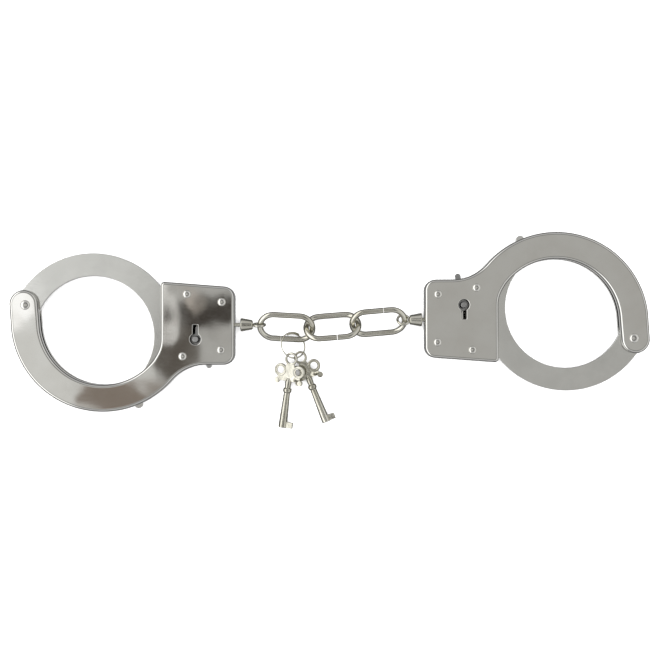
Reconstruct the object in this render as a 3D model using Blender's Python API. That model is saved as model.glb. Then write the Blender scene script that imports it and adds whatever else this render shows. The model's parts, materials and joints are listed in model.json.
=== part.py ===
"""A pair of swing-through handcuffs with a three-link chain and two keys, laid out flat.

World frame: +X runs along the chain from the left cuff to the right cuff, +Z points up, and the
rivet tails stand on Z = 0. Driving dimensions are in millimetres; MM turns them into Blender's
metres where a mesh is made. Each cuff is drawn once in its own frame, with the origin on the arm's
pivot axis, +X towards the lock box and +Y towards the swinging arm.
"""
import math

import bmesh
import bpy
from mathutils import Matrix, Vector

MM = 0.001

# ---------------------------------------------------------------- stack of a cuff, bottom to top
TAIL_HEIGHT = 0.6          # rivet tails stand this far below the rear plate
CUFF_THICKNESS = 9.2       # outer face of the rear plate to outer face of the front plate
MID_Z = TAIL_HEIGHT + CUFF_THICKNESS / 2
HALF = CUFF_THICKNESS / 2
SHEET = 0.9                # pressed sheet thickness
SHOULDER = 1.4             # bend radius where a plate turns down into its flange
SEAM_GAP = 0.3             # between the two plates' flanges
ARM_THICKNESS = 2.0
ARM_SLOT = 2.6             # slot between the plates that the arm swings in
FIT = 0.3                  # gap between a piece and what it sits on or turns on

# ---------------------------------------------------------------- plate outline
CAP_CENTRE = (-0.9, 0.4)
CAP_RADIUS = 6.4
BOW_CENTRE = (34.7, -6.6)
BOW_OUTER = 41.5
OPENING_CENTRE = (34.8, -7.3)
OPENING_RADIUS = 28.6
THROAT_RADIUS = 20.6       # hollow curve between the bow and the lock box
BOX_BOTTOM = -26.8
BOX_END = 94.2
BOX_END_TOP = 8.25
BOX_MOUTH = 60.9
BOX_MOUTH_TOP = 10.75
BOX_CORNER = 5.0
MOUTH_CORNER = 1.8

# ---------------------------------------------------------------- ratchet arm
ARM_OUTER_CENTRE = (30.0, -15.4)
ARM_OUTER_RADIUS = 38.95
ARM_INNER_CENTRE = (30.4, -13.95)
ARM_INNER_RADIUS = 27.2
ARM_END_RADIUS = 5.2
TOOTH_TIP = 69.5           # tooth radii are measured from the pivot, so the teeth stay in mesh
TOOTH_ROOT = 68.4
TOOTH_PITCH = 1.7          # degrees
TOOTH_COUNT = 16
TOOTH_START = -36.5        # degrees
NOSE_ANGLE = -41.4
NOSE_CENTRE_RADIUS = 67.6
NOSE_RADIUS = 1.9
ARM_TIP_INNER_ANGLE = -50.0
SLOT_RADIUS = 70.3

# ---------------------------------------------------------------- rivets, lock and swivel
CASE_RIVETS = ((72.8, 5.0), (88.5, 1.5), (70.9, -23.0), (88.2, -20.1))
RIVET_SHANK = 1.2
RIVET_HEAD = 1.85
RIVET_HEAD_HEIGHT = 1.0
RIVET_TAIL = 1.55
PIVOT_SHANK = 1.5
KEYHOLE = (76.6, -15.3)
KEYHOLE_RADIUS = 2.5
KEYHOLE_SLOT_LENGTH = 6.5
KEYHOLE_SLOT_WIDTH = 2.3
POST_RADIUS = 1.35
PAWL_LUG = (1.15, 2.9)     # how far the lug's two sides lie from the keyhole's centre
LEVER_HUB = 2.6
LEVER_LENGTH = 14.5
LEVER_WIDTH = 2.5
FINGER_LENGTH = 5.8
FINGER_WIDTH = 1.3
LEVER_REST = -64.0         # direction of the lever's stub about the key post, in degrees
FINGER_REST = 88.0
LEVER_TRAVEL = (-16.0, 11.0)   # degrees that the stub may turn each way in its window
LEVER_Z = (MID_Z - 1.1, MID_Z - 0.2)
PAWL_HUB = 2.9
PAWL_ENGAGE = 3.6          # degrees from riding on the tooth tips to full mesh
SPRING_WIRE = 0.3
PAWL_TEETH_AT = 13         # the arm tooth that the pawl's first tooth drops behind
SWIVEL_Y = -8.7
SWIVEL_SHANK = 0.9
SWIVEL_HEAD = 2.2
COLLAR_START = 95.8
COLLAR_LENGTH = 5.5
COLLAR_WIDE = 3.05
COLLAR_NARROW = 2.2
EYE_RADIUS = 2.65
EYE_WIRE = 0.55
EYE_CENTRE_X = 104.2

# ---------------------------------------------------------------- chain, ring and keys
LINK_LENGTH = 26.5
LINK_WIDTH = 14.9
LINK_WIRE = 1.3
LINK_OVERLAP = 2.96        # between the wire centres of two joined links
BUTT_GAP = 0.18
RING_RADIUS = 5.85
RING_GROWTH = 0.36         # how far the wire's ends lie inside and outside the middle turn
RING_OVERLAP = 62.0
RING_WIRE = 0.3
KEY_BARREL_NECK = 1.4
KEY_BARREL_TIP = 1.95
KEY_BARREL_LENGTH = 17.2
KEY_BORE = 1.45
KEY_BORE_DEPTH = 9.0
KEY_COLLAR = 1.95
KEY_BIT_REACH = 4.7
KEY_TOP_RING_Y = 14.4
KEY_SIDE_RING = (4.37, 8.8)
KEY_LUG = (5.5, 3.9)
KEY_PLATE = 1.1            # thickness of the bow's rings
KEY_RING_OUTER = 3.0
KEY_RING_HOLE = 1.9

# ---------------------------------------------------------------- where the pieces lie
SHIFT = (0.599, -0.103)        # sets the origin under the middle of the whole object
CUFFS = {
    "left": {"pivot": (-137.7, 11.7), "turn": -0.1, "swivel_slide": 0.9, "eye_turn": 14.0,
             "lever_turn": 0.0, "pawl_turn": 0.0},
    "right": {"pivot": (136.5, -3.25), "turn": 180.2, "swivel_slide": -0.5, "eye_turn": -52.0,
              "lever_turn": -16.0, "pawl_turn": 5.3},
}
LINKS = (
    {"name": "chain_link_left", "slope": -3.2, "tilt": 30.0, "gap_at": 0.30},
    {"name": "chain_link_middle", "slope": 4.6, "tilt": -35.0, "gap_at": 0.66},
    {"name": "chain_link_right", "slope": 5.0, "tilt": 35.0, "gap_at": 0.73},
)
CHAIN_START = (-32.2, 2.4, 5.2)
RING_CENTRE = (-17.129, -6.589, 3.3)
RING_SLOPE = (-0.511, -0.283)
KEYS = (
    {"name": "key_front", "collar": (-19.857, -26.872), "turn": -7.616, "z": 3.65, "pitch": 5.181,
     "roll": 17.263},
    {"name": "key_back", "collar": (-8.526, -25.4), "turn": 21.92, "z": 2.667, "pitch": 2.083,
     "roll": 7.605},
)

NICKEL = (0.66, 0.66, 0.63)
CHAIN_NICKEL = (0.60, 0.59, 0.52)
SPRING_STEEL = (0.45, 0.45, 0.47)


# ---------------------------------------------------------------- plane geometry
def polar(centre, radius, degrees):
    angle = math.radians(degrees)
    return (centre[0] + radius * math.cos(angle), centre[1] + radius * math.sin(angle))


def arc(centre, radius, start, end, step=10.0):
    """Points of an arc from start to end degrees, both ends included."""
    count = max(1, math.ceil(abs(end - start) / step))
    return [polar(centre, radius, start + (end - start) * i / count) for i in range(count + 1)]


def fillet(before, corner, after, radius, step=18.0):
    """Points of the arc that rounds a corner between two straight edges."""
    here = Vector(corner)
    to_before = (Vector(before) - here).normalized()
    to_after = (Vector(after) - here).normalized()
    half = to_before.angle(to_after) / 2
    middle = here + (to_before + to_after).normalized() * (radius / math.sin(half))
    start = here + to_before * (radius / math.tan(half)) - middle
    end = here + to_after * (radius / math.tan(half)) - middle
    first = math.degrees(math.atan2(start.y, start.x))
    sweep = math.degrees(math.atan2(end.y, end.x)) - first
    sweep = (sweep + 180) % 360 - 180
    return arc(tuple(middle), radius, first, first + sweep, step)


def inset(outline, distance):
    """Move a counter-clockwise outline inwards by a small distance."""
    moved = []
    for i, point in enumerate(outline):
        here = Vector(point)
        ahead = (Vector(outline[(i + 1) % len(outline)]) - here).normalized()
        behind = (here - Vector(outline[i - 1])).normalized()
        tangent = (ahead + behind).normalized()
        stretch = max(0.5, tangent.dot(ahead))
        normal = Vector((-tangent.y, tangent.x))
        moved.append(tuple(here + normal * (distance / stretch)))
    return moved


def turned(point, centre, degrees):
    angle = math.radians(degrees)
    dx = point[0] - centre[0]
    dy = point[1] - centre[1]
    return (centre[0] + dx * math.cos(angle) - dy * math.sin(angle),
            centre[1] + dx * math.sin(angle) + dy * math.cos(angle))


# ---------------------------------------------------------------- mesh building
def mesh_from(name, points, faces):
    """A closed mesh from points in millimetres, with its faces turned outwards."""
    mesh = bpy.data.meshes.new(name)
    mesh.from_pydata([tuple(c * MM for c in p) for p in points], [], faces)
    shape = bmesh.new()
    shape.from_mesh(mesh)
    bmesh.ops.recalc_face_normals(shape, faces=shape.faces)
    shape.to_mesh(mesh)
    shape.free()
    return mesh


def stack(name, rings):
    """Skin a list of equal-sized rings of 3-D points and cap the first and the last."""
    size = len(rings[0])
    points = [p for ring in rings for p in ring]
    faces = [list(range(size - 1, -1, -1))]
    for level in range(len(rings) - 1):
        low = level * size
        for i in range(size):
            j = (i + 1) % size
            faces.append([low + i, low + j, low + size + j, low + size + i])
    last = (len(rings) - 1) * size
    faces.append(list(range(last, last + size)))
    return mesh_from(name, points, faces)


def prism(name, outline, low, high):
    return stack(name, [[(x, y, z) for x, y in outline] for z in (low, high)])


def lathe(name, profile, along="Z", at=(0.0, 0.0), sides=16):
    """Turn a profile of (radius, height) pairs about Z, or about X, through the point at."""
    rings = []
    for radius, height in profile:
        ring = []
        for i in range(sides):
            angle = 2 * math.pi * i / sides
            a = radius * math.cos(angle)
            b = radius * math.sin(angle)
            if along == "Z":
                ring.append((at[0] + a, at[1] + b, height))
            else:
                ring.append((height, at[0] + a, at[1] + b))
        rings.append(ring)
    return stack(name, rings)


def tube(name, path, radius, sides, closed=False):
    """Sweep a circle along a path of points, with caps unless the path is closed."""
    path = [Vector(p) for p in path]
    count = len(path)
    rings = []
    normal = None
    for i, point in enumerate(path):
        if closed:
            tangent = (path[(i + 1) % count] - path[i - 1]).normalized()
        else:
            tangent = (path[min(i + 1, count - 1)] - path[max(i - 1, 0)]).normalized()
        if normal is None:
            helper = Vector((0, 0, 1)) if abs(tangent.z) < 0.9 else Vector((1, 0, 0))
            normal = tangent.cross(helper).normalized()
        normal = (normal - tangent * normal.dot(tangent)).normalized()
        side = tangent.cross(normal)
        rings.append([tuple(point + normal * (radius * math.cos(2 * math.pi * k / sides))
                            + side * (radius * math.sin(2 * math.pi * k / sides)))
                      for k in range(sides)])
    if not closed:
        return stack(name, rings)
    points = [p for ring in rings for p in ring]
    faces = []
    for i in range(count):
        j = (i + 1) % count
        for k in range(sides):
            m = (k + 1) % sides
            faces.append([i * sides + k, i * sides + m, j * sides + m, j * sides + k])
    return mesh_from(name, points, faces)


def combine(name, base, steps):
    """Apply a list of (operation, mesh) Booleans to a mesh and return the result."""
    target = bpy.data.objects.new(name + "_form", base)
    bpy.context.scene.collection.objects.link(target)
    tools = []
    for operation, mesh in steps:
        tool = bpy.data.objects.new(name + "_tool", mesh)
        bpy.context.scene.collection.objects.link(tool)
        tools.append(tool)
        modifier = target.modifiers.new(operation.lower(), "BOOLEAN")
        modifier.operation = operation
        modifier.solver = "EXACT"
        modifier.object = tool
    depsgraph = bpy.context.evaluated_depsgraph_get()
    result = bpy.data.meshes.new_from_object(target.evaluated_get(depsgraph))
    for helper in [target] + tools:
        bpy.data.objects.remove(helper)
    result.name = name
    return result


# ---------------------------------------------------------------- materials and objects
def material(name, colour, roughness):
    result = bpy.data.materials.new(name)
    result.use_nodes = True
    shader = result.node_tree.nodes["Principled BSDF"]
    shader.inputs["Base Color"].default_value = (*colour, 1.0)
    shader.inputs["Metallic"].default_value = 1.0
    shader.inputs["Roughness"].default_value = roughness
    return result


def place(name, mesh, colour, roughness, parent=None, origin=(0.0, 0.0, 0.0), turn=None):
    """Make a named object whose origin is the given point (mm) of the parent's frame."""
    body = mesh.copy()
    body.name = name
    body.transform(Matrix.Translation(-Vector(origin) * MM))
    body.shade_smooth()
    body.set_sharp_from_angle(angle=math.radians(35))
    body.materials.clear()
    body.materials.append(material(name + "_metal", colour, roughness))
    thing = bpy.data.objects.new(name, body)
    bpy.context.scene.collection.objects.link(thing)
    thing.location = Vector(origin) * MM
    if turn is not None:
        thing.rotation_euler = turn
    thing.parent = parent
    return thing


def empty(name, location, turn=(0.0, 0.0, 0.0), parent=None):
    guide = bpy.data.objects.new(name, None)
    bpy.context.scene.collection.objects.link(guide)
    guide.location = Vector(location) * MM
    guide.rotation_euler = turn
    guide.parent = parent
    return guide


# ---------------------------------------------------------------- cuff pieces, in the cuff's frame
def plate_outline():
    """Outline of a pressed plate: pivot cap, bow, throat, lock box, mouth and opening."""
    foot_y = BOX_BOTTOM - THROAT_RADIUS
    reach = BOW_OUTER + THROAT_RADIUS
    foot_x = BOW_CENTRE[0] + math.sqrt(reach ** 2 - (BOW_CENTRE[1] - foot_y) ** 2)
    foot = (foot_x, foot_y)
    join = math.degrees(math.atan2(foot_y - BOW_CENTRE[1], foot_x - BOW_CENTRE[0]))
    bottom_corner = (BOX_END, BOX_BOTTOM)
    top_corner = (BOX_END, BOX_END_TOP)
    mouth_corner = (BOX_MOUTH, BOX_MOUTH_TOP)
    low_y = OPENING_CENTRE[1] - math.sqrt(
        OPENING_RADIUS ** 2 - (BOX_MOUTH - OPENING_CENTRE[0]) ** 2)
    low_corner = (BOX_MOUTH, low_y)
    opening_start = polar(OPENING_CENTRE, OPENING_RADIUS, -37.0)
    points = arc(CAP_CENTRE, CAP_RADIUS, 0, 180, 15)
    points += arc(BOW_CENTRE, BOW_OUTER, 187, join + 360)
    points += arc(foot, THROAT_RADIUS, join + 180, 90, 10)[1:]
    points += fillet((foot_x, BOX_BOTTOM), bottom_corner, top_corner, BOX_CORNER)
    points += fillet(bottom_corner, top_corner, mouth_corner, BOX_CORNER)
    points += fillet(top_corner, mouth_corner, low_corner, MOUTH_CORNER, 30)
    points += fillet(mouth_corner, low_corner, opening_start, 14.0, 8)
    points += arc(OPENING_CENTRE, OPENING_RADIUS, -37.0, -178.0)
    return points


def keyhole_outline():
    x, y = KEYHOLE
    half = KEYHOLE_SLOT_WIDTH / 2
    edge = math.degrees(math.asin(half / KEYHOLE_RADIUS))
    points = arc(KEYHOLE, KEYHOLE_RADIUS, 90 + edge, 450 - edge, 24)
    points += [(x + half, y + KEYHOLE_SLOT_LENGTH), (x - half, y + KEYHOLE_SLOT_LENGTH)]
    return points


def plate_shell(name, side):
    """The pressed shell: side is +1 for the front plate and -1 for the rear plate."""
    outline = plate_outline()
    steps = 2
    levels = [(SHEET, SEAM_GAP / 2)]
    levels.insert(0, (SHEET, HALF - SHEET - 0.5))
    levels.insert(0, (SHEET + 0.7, HALF - SHEET))
    levels.append((0.0, SEAM_GAP / 2))
    for i in range(steps + 1):
        angle = math.radians(90 * i / steps)
        levels.append((SHOULDER * (1 - math.cos(angle)),
                       HALF - SHOULDER * (1 - math.sin(angle))))
    rings = [[(x, y, MID_Z + side * height) for x, y in inset(outline, depth)]
             for depth, height in levels]
    return stack(name, rings)


def vertical_hole(point, radius, low, high, sides=16):
    return lathe("hole", [(radius, low), (radius, high)], at=point, sides=sides)


def make_plate(name, side):
    outside = MID_Z + side * (HALF + 1.0)
    inside = MID_Z + side * (HALF - SHEET - 1.0)
    low, high = min(inside, outside), max(inside, outside)
    slot = lathe("slot", [(SLOT_RADIUS, MID_Z - ARM_SLOT / 2), (SLOT_RADIUS, MID_Z + ARM_SLOT / 2)],
                 sides=72)
    steps = [("DIFFERENCE", slot), ("DIFFERENCE", vertical_hole((0, 0), PIVOT_SHANK + FIT, low, high))]
    for point in CASE_RIVETS:
        steps.append(("DIFFERENCE", vertical_hole(point, RIVET_SHANK + FIT, low, high)))
    swivel_bore = lathe("bore", [(SWIVEL_SHANK + FIT, BOX_END - 2.5), (SWIVEL_SHANK + FIT, BOX_END + 2)],
                        along="X", at=(SWIVEL_Y, MID_Z), sides=16)
    steps.append(("DIFFERENCE", swivel_bore))
    if side > 0:
        steps.append(("DIFFERENCE", prism("keyhole", keyhole_outline(), low, high)))
    else:
        steps.append(("DIFFERENCE", vertical_hole(KEYHOLE, POST_RADIUS + FIT, low, high)))
        steps.append(("DIFFERENCE", lever_notch()))
    return combine(name, plate_shell(name, side), steps)


def lever_notch():
    """Window in the rear flange that the lever's stub swings in."""
    spread = 7.5
    first = LEVER_REST + LEVER_TRAVEL[0] - spread
    last = LEVER_REST + LEVER_TRAVEL[1] + spread
    wide = arc(KEYHOLE, 17.0, first, last, 12)
    near = arc(KEYHOLE, 8.0, last, first, 12)
    return prism("notch", wide + near, LEVER_Z[0] - FIT, MID_Z + 0.1)


def arm_outline():
    """Band about its own centre, with teeth on an arc about the pivot and a rounded nose."""
    pivot = (0.0, 0.0)
    outward = math.degrees(math.atan2(-ARM_OUTER_CENTRE[1], -ARM_OUTER_CENTRE[0]))
    distance = math.hypot(*ARM_OUTER_CENTRE)
    tooth_end = TOOTH_START + TOOTH_COUNT * TOOTH_PITCH
    lean = (TOOTH_TIP ** 2 - distance ** 2 - ARM_OUTER_RADIUS ** 2) / (
        2 * distance * ARM_OUTER_RADIUS)
    band_start = math.degrees(math.acos(lean)) + outward - 180
    nose = polar(pivot, NOSE_CENTRE_RADIUS, NOSE_ANGLE)
    points = arc(pivot, ARM_END_RADIUS, outward, 285, 18)
    points += arc(ARM_INNER_CENTRE, ARM_INNER_RADIUS, 163, ARM_TIP_INNER_ANGLE, 9)
    points += arc(nose, NOSE_RADIUS, 185, 380, 30)
    for i in range(TOOTH_COUNT):
        start = TOOTH_START + i * TOOTH_PITCH
        points.append(polar(pivot, TOOTH_ROOT, start))
        points.append(polar(pivot, TOOTH_TIP, start + 0.82 * TOOTH_PITCH))
    points.append(polar(pivot, TOOTH_ROOT, tooth_end))
    points += arc(ARM_OUTER_CENTRE, ARM_OUTER_RADIUS, band_start + 1.5, outward, 8)[:-1]
    return points


def make_arm():
    low = MID_Z - ARM_THICKNESS / 2
    high = MID_Z + ARM_THICKNESS / 2
    band = prism("arm", arm_outline(), low, high)
    hole = vertical_hole((0, 0), PIVOT_SHANK + 0.15, low - 1, high + 1)
    return combine("arm", band, [("DIFFERENCE", hole)])


def make_rivet(point, shank):
    """Domed head on the front plate, flat tail under the rear plate."""
    head_z = MID_Z + HALF + 0.12
    grow = shank - RIVET_SHANK
    head = RIVET_HEAD + grow
    profile = [(RIVET_TAIL + grow - 0.2, 0.0), (RIVET_TAIL + grow, 0.2),
               (RIVET_TAIL + grow, TAIL_HEIGHT - 0.12), (shank, TAIL_HEIGHT - 0.12),
               (shank, head_z), (head, head_z)]
    for degrees in (10, 45, 78):
        angle = math.radians(degrees)
        profile.append((head * math.cos(angle), head_z + 0.1 + (RIVET_HEAD_HEIGHT - 0.1) * math.sin(angle)))
    return lathe("rivet", profile, at=point, sides=14)


def make_key_post():
    foot = TAIL_HEIGHT - 0.12
    top = MID_Z + HALF - 0.7
    profile = [(POST_RADIUS + 0.5, 0.15), (POST_RADIUS + 0.5, foot), (POST_RADIUS, foot),
               (POST_RADIUS, top - 0.3), (POST_RADIUS - 0.3, top)]
    return lathe("post", profile, at=KEYHOLE, sides=16)


def bar_outline(centre, length, width, degrees):
    """A straight finger from a centre, with a round end."""
    tip = polar(centre, length - width / 2, degrees)
    points = [polar(centre, width / 2, degrees - 90)]
    points += arc(tip, width / 2, degrees - 90, degrees + 90, 30)
    points.append(polar(centre, width / 2, degrees + 90))
    return points


def make_lever():
    """Release lever: a hub on the key post, a finger behind the pawl and a stub outside the box."""
    hub = vertical_hole(KEYHOLE, LEVER_HUB, TAIL_HEIGHT + SHEET + 0.2, LEVER_Z[1])
    low, high = LEVER_Z
    stub = prism("stub", bar_outline(KEYHOLE, LEVER_LENGTH, LEVER_WIDTH, LEVER_REST), low, high - 0.02)
    finger = prism("finger", bar_outline(KEYHOLE, FINGER_LENGTH, FINGER_WIDTH, FINGER_REST),
                   low + 0.02, high - 0.04)
    bore = vertical_hole(KEYHOLE, POST_RADIUS + FIT, 0, LEVER_Z[1] + 1)
    return combine("lever", hub, [("UNION", stub), ("UNION", finger), ("DIFFERENCE", bore)])


def pawl_outline():
    """Blade with two teeth that match the arm's, and a lug that the key or the lever pushes."""
    rivet = CASE_RIVETS[0]
    gap = 0.35
    first = TOOTH_START + PAWL_TEETH_AT * TOOTH_PITCH
    teeth = [(first - 0.6, TOOTH_TIP + 1.1)]
    for i in range(2):
        start = first + i * TOOTH_PITCH
        teeth.append((start, TOOTH_ROOT + gap))
        teeth.append((start + 0.82 * TOOTH_PITCH, TOOTH_TIP + gap))
    teeth.append((first + 2 * TOOTH_PITCH, TOOTH_ROOT + gap))
    teeth.append((first + 2 * TOOTH_PITCH + 0.4, TOOTH_TIP + 0.9))
    mesh_pose = [turned(polar((0, 0), radius, degrees), rivet, PAWL_ENGAGE)
                 for degrees, radius in teeth]
    lug_left = KEYHOLE[0] + PAWL_LUG[0]
    lug_right = KEYHOLE[0] + PAWL_LUG[1]
    blade = [(70.3, -18.6), (71.9, -13.0), (73.4, -7.6), (lug_left, -7.6), (lug_left, -12.0),
             (lug_right, -12.0), (lug_right, -5.2), (74.8, -4.6), (75.2, 4.5), (71.0, 3.5),
             (70.9, -4.5)]
    return blade + mesh_pose[::-1]


def make_pawl():
    rivet = CASE_RIVETS[0]
    half = ARM_THICKNESS / 2
    hub = vertical_hole(rivet, PAWL_HUB, TAIL_HEIGHT + SHEET + FIT, MID_Z + HALF - SHEET - FIT)
    blade = prism("blade", pawl_outline(), MID_Z - half, MID_Z + half)
    bore = vertical_hole(rivet, RIVET_SHANK + 0.2, 0, MID_Z + HALF)
    return combine("pawl", hub, [("UNION", blade), ("DIFFERENCE", bore)])


def make_spring(pawl_turn):
    """Torsion spring round a case rivet: one leg bears on the pawl's lug, one on the box end."""
    centre = CASE_RIVETS[1]
    coil = RIVET_SHANK + 0.8
    low = MID_Z - 0.8
    lug_side = (KEYHOLE[0] + PAWL_LUG[1] + FIT + SPRING_WIRE, -8.6)
    contact = turned(lug_side, CASE_RIVETS[0], pawl_turn)
    away = math.hypot(contact[0] - centre[0], contact[1] - centre[1])
    bearing = math.degrees(math.atan2(contact[1] - centre[1], contact[0] - centre[0]))
    touch = bearing - math.degrees(math.acos(coil / away))
    steps = 20
    sweep = 360.0 * 2 + 90.0
    path = [(*contact, low)]
    for i in range(steps + 1):
        share = i / steps
        path.append((*polar(centre, coil, touch - sweep * share), low + 1.7 * share))
    leave = polar(path[-1][:2], 2.6, touch - sweep - 90)
    path.append((*leave, low + 1.7))
    return tube("spring", path, SPRING_WIRE, 5)


def make_swivel(eye_turn):
    """Headed shank, tapered collar and eye, all turned or bent from one piece."""
    x0 = BOX_END - 0.9 - 1.1
    end = COLLAR_START + COLLAR_LENGTH
    profile = [(SWIVEL_HEAD - 0.3, x0 - 1.3), (SWIVEL_HEAD, x0 - 1.0), (SWIVEL_HEAD, x0),
               (SWIVEL_SHANK, x0), (SWIVEL_SHANK, COLLAR_START), (COLLAR_WIDE - 0.3, COLLAR_START),
               (COLLAR_WIDE, COLLAR_START + 0.4), (COLLAR_NARROW, end - 0.3), (COLLAR_NARROW - 0.4, end)]
    shank = lathe("shank", profile, along="X", at=(SWIVEL_Y, MID_Z), sides=16)
    tilt = math.radians(eye_turn)
    side = Vector((0.0, -math.sin(tilt), math.cos(tilt)))
    centre = Vector((EYE_CENTRE_X, SWIVEL_Y, MID_Z))
    circle = [centre + Vector((math.cos(a), 0, 0)) * EYE_RADIUS + side * (EYE_RADIUS * math.sin(a))
              for a in [2 * math.pi * i / 20 for i in range(20)]]
    eye = tube("eye", circle, EYE_WIRE, 6, closed=True)
    return combine("swivel", shank, [("UNION", eye)])


def build_cuff(side, setting):
    """Place one cuff's pieces under an empty on its pivot axis."""
    x, y = setting["pivot"]
    pivot = empty(side + "_cuff_pivot", (x + SHIFT[0], y + SHIFT[1], 0),
                  (0, 0, math.radians(setting["turn"])))
    first = CASE_RIVETS[0]
    place(side + "_front_plate", make_plate("front", +1), NICKEL, 0.16, pivot)
    place(side + "_rear_plate", make_plate("rear", -1), NICKEL, 0.18, pivot)
    place(side + "_ratchet_arm", make_arm(), NICKEL, 0.2, pivot)
    place(side + "_pivot_rivet", make_rivet((0, 0), PIVOT_SHANK), NICKEL, 0.15, pivot)
    for i, point in enumerate(CASE_RIVETS):
        place("%s_case_rivet_%d" % (side, i + 1), make_rivet(point, RIVET_SHANK), NICKEL, 0.15,
              pivot, (*point, 0))
    place(side + "_key_post", make_key_post(), NICKEL, 0.25, pivot, (*KEYHOLE, 0))
    place(side + "_release_lever", make_lever(), NICKEL, 0.25, pivot, (*KEYHOLE, 0),
          (0, 0, math.radians(setting["lever_turn"])))
    place(side + "_pawl", make_pawl(), NICKEL, 0.3, pivot, (*first, 0),
          (0, 0, math.radians(setting["pawl_turn"])))
    place(side + "_pawl_spring", make_spring(setting["pawl_turn"]), SPRING_STEEL, 0.3, pivot)
    slide = setting["swivel_slide"]
    swivel = place(side + "_swivel", make_swivel(setting["eye_turn"]), CHAIN_NICKEL, 0.18, pivot,
                   (EYE_CENTRE_X, SWIVEL_Y, MID_Z))
    swivel.location.x += slide * MM


# ---------------------------------------------------------------- chain, ring and keys
def make_link(gap_at):
    """Oval of round wire in the XY plane with a butt joint in one straight side.

    gap_at is the joint's place along the straight side: 0 is its left end and 1 its right end.
    """
    bend = LINK_WIDTH / 2 - LINK_WIRE
    reach = LINK_LENGTH / 2 - LINK_WIDTH / 2
    joint = -reach + 2 * reach * gap_at
    path = [(joint - BUTT_GAP / 2, bend)]
    path += arc((-reach, 0), bend, 90, 270, 20)
    path += arc((reach, 0), bend, 270, 450, 20)
    path += [(joint + BUTT_GAP / 2, bend)]
    return tube("link", [(px, py, 0) for px, py in path], LINK_WIRE, 10)


def build_chain():
    start = Vector(CHAIN_START)
    inner = LINK_LENGTH / 2 - LINK_WIRE
    for i, link in enumerate(LINKS):
        slope = math.radians(link["slope"])
        along = Vector((math.cos(slope), math.sin(slope), 0))
        centre = start + along * inner
        flip = math.pi if i < 2 else 0.0
        turn = (math.radians(link["tilt"]) + flip, 0, slope)
        frame = empty(link["name"] + "_frame", centre + Vector((*SHIFT, 0)), turn)
        place(link["name"], make_link(link["gap_at"]), CHAIN_NICKEL, 0.2, frame)
        start = centre + along * inner - Vector((LINK_OVERLAP, 0, 0))


def make_ring():
    """Wire ring of one and a sixth turns, whose ends lie side by side."""
    steps = 36
    path = []
    for i in range(steps + 1):
        share = i / steps
        degrees = 90 + RING_OVERLAP / 2 - (360 + RING_OVERLAP) * share
        radius = RING_RADIUS + RING_GROWTH * (2 * share - 1)
        path.append((*polar((0, 0), radius, degrees), 0))
    return tube("ring", path, RING_WIRE, 6)


def build_ring():
    normal = Vector((-RING_SLOPE[0], -RING_SLOPE[1], 1)).normalized()
    turn = normal.to_track_quat("Z", "Y").to_euler()
    frame = empty("key_ring_frame", Vector(RING_CENTRE) + Vector((*SHIFT, 0)), turn)
    spin = math.degrees(math.atan2((turn.to_matrix() @ Vector((1, 0, 0))).y,
                                   (turn.to_matrix() @ Vector((1, 0, 0))).x))
    ring = place("key_ring", make_ring(), CHAIN_NICKEL, 0.2, frame)
    ring.rotation_euler = (0, 0, math.radians(-spin))


def make_key():
    """Hollow-barrel key in the XY plane: collar at the origin, bow towards +Y, bit at the tip."""
    tip = -KEY_BARREL_LENGTH
    profile = [(KEY_BARREL_TIP - 0.15, tip), (KEY_BARREL_TIP, tip + 0.2), (KEY_BARREL_NECK, -1.2),
               (KEY_COLLAR - 0.3, -1.0), (KEY_COLLAR, -0.6), (KEY_COLLAR, 0.5), (KEY_COLLAR - 0.3, 0.9),
               (1.3, 1.1), (1.5, 4.0), (0.7, 5.6)]
    shaft = lathe("shaft", profile, sides=16)
    upright = Matrix.Rotation(math.radians(-90), 4, "X")
    shaft.transform(upright)
    bore = lathe("bore", [(KEY_BORE, tip - 1), (KEY_BORE, tip + KEY_BORE_DEPTH)], sides=16)
    bore.transform(upright)
    web_half = 0.42
    web = [(-1.6, 12.6), (-2.6, 9.0), (-5.2, 6.2), (-6.0, 4.2), (6.0, 4.2), (5.2, 6.2), (2.6, 9.0),
           (1.6, 12.6)]
    steps = [("UNION", prism("web", web, -web_half, web_half))]
    rings = [(0.0, KEY_TOP_RING_Y), KEY_SIDE_RING, (-KEY_SIDE_RING[0], KEY_SIDE_RING[1])]
    for point in rings:
        steps.append(("UNION", vertical_hole(point, KEY_RING_OUTER, -KEY_PLATE / 2, KEY_PLATE / 2)))
    for sign in (-1, 1):
        lug = vertical_hole((sign * KEY_LUG[0], KEY_LUG[1]), 1.3, -0.5, 0.5, 12)
        steps.append(("UNION", lug))
    bit = [(KEY_BORE + 0.2, tip + 0.1), (KEY_BIT_REACH, tip + 0.1), (KEY_BIT_REACH, tip + 2.8),
           (KEY_BORE + 0.2, tip + 2.8)]
    steps.append(("UNION", prism("bit", bit, -KEY_PLATE / 2, KEY_PLATE / 2)))
    for point in rings:
        steps.append(("DIFFERENCE", vertical_hole(point, KEY_RING_HOLE, -1, 1, 20)))
    steps.append(("DIFFERENCE", bore))
    return combine("key", shaft, steps)


def build_keys():
    for key in KEYS:
        x, y = key["collar"]
        turn = (Matrix.Rotation(math.radians(key["turn"]), 3, "Z")
                @ Matrix.Rotation(math.radians(key["pitch"]), 3, "X")
                @ Matrix.Rotation(math.radians(-key["roll"]), 3, "Y"))
        frame = empty(key["name"] + "_frame", (x + SHIFT[0], y + SHIFT[1], key["z"]), turn.to_euler())
        place(key["name"], make_key(), CHAIN_NICKEL, 0.2, frame)


def main():
    for thing in list(bpy.data.objects):
        bpy.data.objects.remove(thing)
    for side, setting in CUFFS.items():
        build_cuff(side, setting)
    build_chain()
    build_ring()
    build_keys()


main()
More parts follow.
